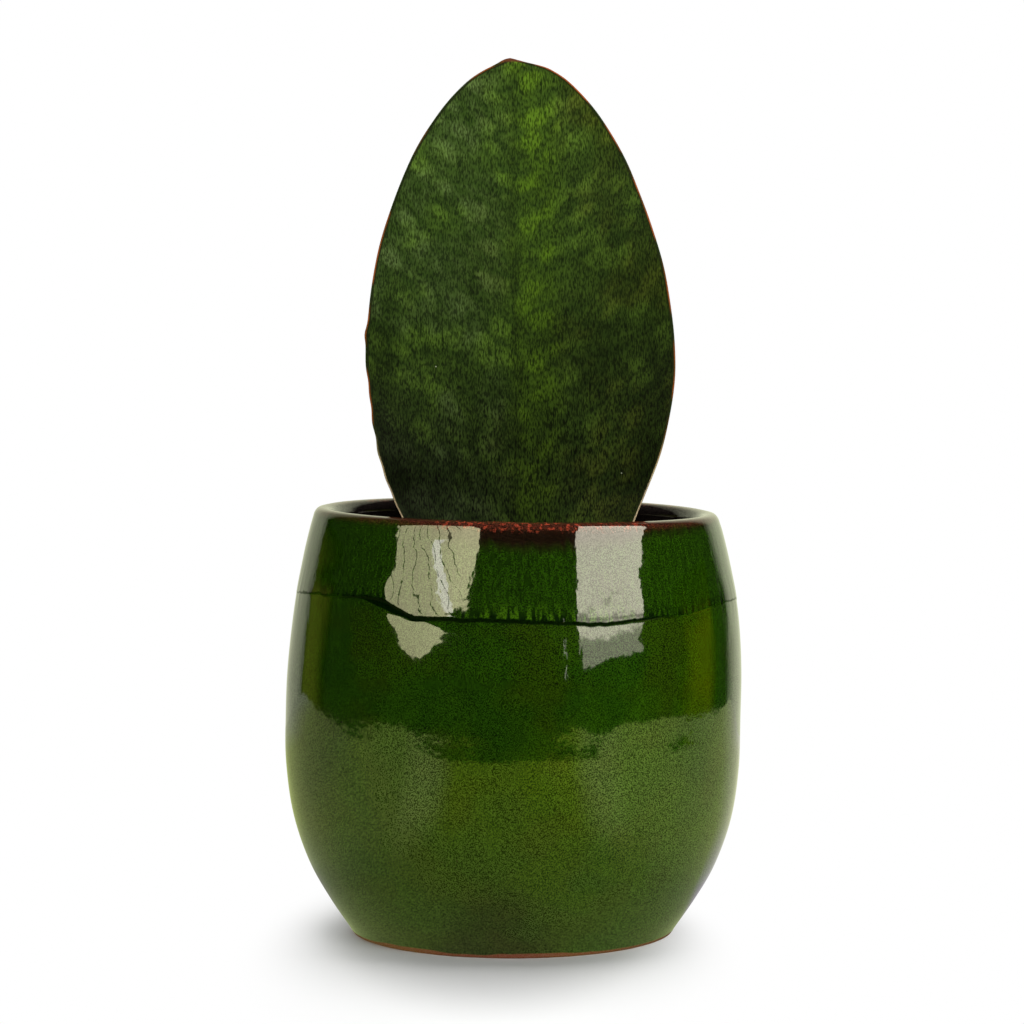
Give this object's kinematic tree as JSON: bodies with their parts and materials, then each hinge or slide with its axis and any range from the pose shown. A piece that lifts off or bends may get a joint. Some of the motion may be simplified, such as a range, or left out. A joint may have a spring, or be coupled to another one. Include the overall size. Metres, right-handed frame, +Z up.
{
  "type": "potted shark fin snake plant",
  "caption": "Broad, stiff, upright paddle leaf with a mottled hollow face, rooted in soil in a barrel-shaped glazed pot with a rounded lip.",
  "frame": {"origin": "on the surface that the pot stands on, in the middle of its foot", "axes": "+Z up, -Y towards the front, which the leaf's hollow face looks to, +X to the right seen from the front"},
  "size_m": [0.1806, 0.18, 0.3446],
  "materials": {
    "pot": "gloss",
    "soil": "matte",
    "leaf": "satin"
  },
  "bodies": {
    "root": {"pot": "pot", "soil": "soil", "leaf": "leaf"}
  },
  "joints": []
}
